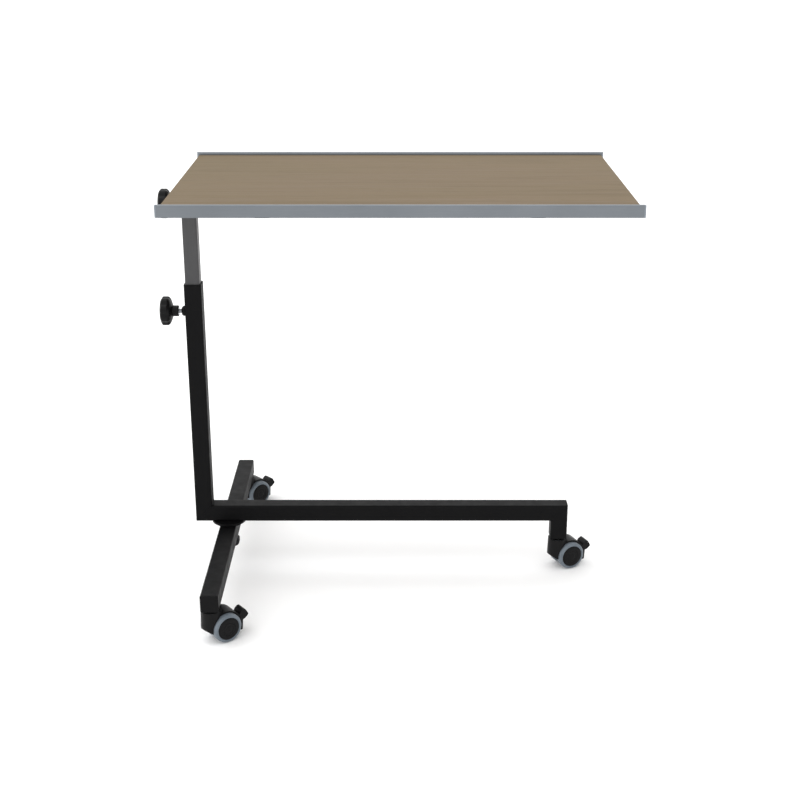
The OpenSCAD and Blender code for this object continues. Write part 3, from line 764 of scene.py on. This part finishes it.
def weld_line(name, start, end, node):
    """A straight weld bead between two points."""
    count = int((end - start).length / BEAD_STEP)
    path = [start.lerp(end, i / count) for i in range(count + 1)]
    detail(tube_along(name, path, bead_radius), node)


def weld_ring(name, centre, outward, radius, node):
    """A weld bead round a circle."""
    place = facing(centre, outward)
    count = int(2 * math.pi * radius / BEAD_STEP)
    turns = [2 * math.pi * i / count for i in range(count)]
    path = [place @ Vector((radius * math.cos(a), radius * math.sin(a), 0)) for a in turns]
    detail(tube_along(name, path, bead_radius, closed=True), node)


def welds():
    """Beads in the base's two inner corners and round the root of the clamp boss."""
    low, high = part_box("beam_tube")
    inset = 4 * MM
    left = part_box("column_tube")[1].x
    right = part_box("leg_tube")[0].x
    for name, x, z in (("weld_column", left, high.z), ("weld_leg", right, low.z)):
        start = Vector((x, low.y + inset, z))
        weld_line(name, start, Vector((x, high.y - inset, z)), "beam_tube")
    boss = middle("clamp_boss")
    root = Vector((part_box("clamp_boss")[1].x, boss.y, boss.z))
    weld_ring("weld_boss", root, -ALONG_X, span("clamp_boss", 2) / 2, "clamp_boss")


def frame_pieces():
    """Tubes, plates, plugs and strips with rounded edges, in place of the sharp CAD ones."""
    tubes = ["column_tube", "beam_tube", "leg_tube", "cross_bar_tube", "inner_tube"]
    plates = ["pivot_disc", "clamp_boss", "rail_plate", "tilt_rail", "cross_straps"]
    for node in tubes + plates:
        stand_in(softened(node, TUBE_EDGE), node)
    for node in ("cross_bar_caps", "guide_bush", "strap_caps", "rail_plug"):
        stand_in(softened(node, PLUG_EDGE), node)
    for node in ("front_profile", "back_profile", "profile_caps", "edge_bands"):
        stand_in(softened(node, STRIP_EDGE, 50), node)


# ---------------------------------------------------------------- studio


def studio_floor():
    """A wide pale floor with a faint mottle."""
    mesh = bmesh.new()
    ways = ((-1, -1), (1, -1), (1, 1), (-1, 1))
    mesh.faces.new([mesh.verts.new((x * FLOOR_REACH, y * FLOOR_REACH, 0)) for x, y in ways])
    made = object_from("studio_floor", mesh)
    finish, tree, shader = material("pale_floor", Specular_IOR_Level=0.1)
    cloud = noise(tree, 1.5, 4)
    colour = blend(tree, levels(tree, cloud, 0, 1), linear(246, 246, 246), linear(248, 248, 248))
    grain = bump(tree, noise(tree, 300, 2), 0.01 * MM)
    connect(tree, shader, colour, levels(tree, cloud, 0.8, 0.95), grain)
    made.data.materials.append(finish)


def studio_sky():
    """Soft light, brighter behind the table and at its left, with a white horizon."""
    world = bpy.data.worlds.new("studio")
    bpy.context.scene.world = world
    world.use_nodes = True
    tree = world.node_tree
    tree.nodes.clear()
    direction = add(tree, "ShaderNodeTexCoord").outputs["Generated"]
    towards = {0: direction, 1: BRIGHT_SIDE}
    share = add(tree, "ShaderNodeVectorMath", towards, operation="DOT_PRODUCT").outputs["Value"]
    sky = levels(tree, share, 0.6, 1.35, -0.6, 0.7)
    height = add(tree, "ShaderNodeSeparateXYZ", {"Vector": direction}).outputs["Z"]
    horizon = levels(tree, height, 1.2, 0.0, 0.05, 0.15)
    strength = add(tree, "ShaderNodeMath", {0: sky, 1: horizon}, operation="MAXIMUM").outputs["Value"]
    shader = add(tree, "ShaderNodeBackground", {"Color": (1, 1, 1, 1), "Strength": strength})
    add(tree, "ShaderNodeOutputWorld", {"Surface": shader.outputs["Background"]})


def studio_lights():
    """One very soft light from above, a little in front of the table and to its left."""
    lamp = bpy.data.lights.new("soft_key", "SUN")
    lamp.energy = LIGHT_ENERGY
    lamp.angle = math.radians(LIGHT_WIDTH)
    made = bpy.data.objects.new("soft_key", lamp)
    made.rotation_euler = (math.radians(LIGHT_PITCH), math.radians(LIGHT_ROLL), 0)
    bpy.context.scene.collection.objects.link(made)


def studio_camera():
    """The camera, level from side to side and pitched down at the table."""
    data = bpy.data.cameras.new("camera")
    data.sensor_width = SENSOR
    data.lens = CAMERA_LENS
    data.clip_end = 200
    made = bpy.data.objects.new("camera", data)
    made.location = (CAMERA_RIGHT, -CAMERA_BACK, CAMERA_HEIGHT)
    made.rotation_euler = (math.radians(90 - CAMERA_PITCH), 0, 0)
    bpy.context.scene.collection.objects.link(made)
    bpy.context.scene.camera = made


def studio():
    """Floor, light and camera."""
    studio_floor()
    studio_sky()
    studio_lights()
    studio_camera()
    bpy.context.scene.view_settings.view_transform = "Standard"


# ---------------------------------------------------------------- the table


def finish_nodes():
    """Gives every CAD node the finish of its material slot."""
    for name, node in frame["nodes"].items():
        paint(node, slots[name])


materials = {finish.__name__: finish() for finish in FINISHES}

finish_nodes()
frame_pieces()
welds()
for knob in ("height_knob", "tilt_knob"):
    clamp_knob(knob)
for screw in ("height_stud", "tilt_bolt"):
    threaded_rod(screw)
pivot_knob()
for corner_name in ("front", "back", "right"):
    caster(corner_name)
studio()
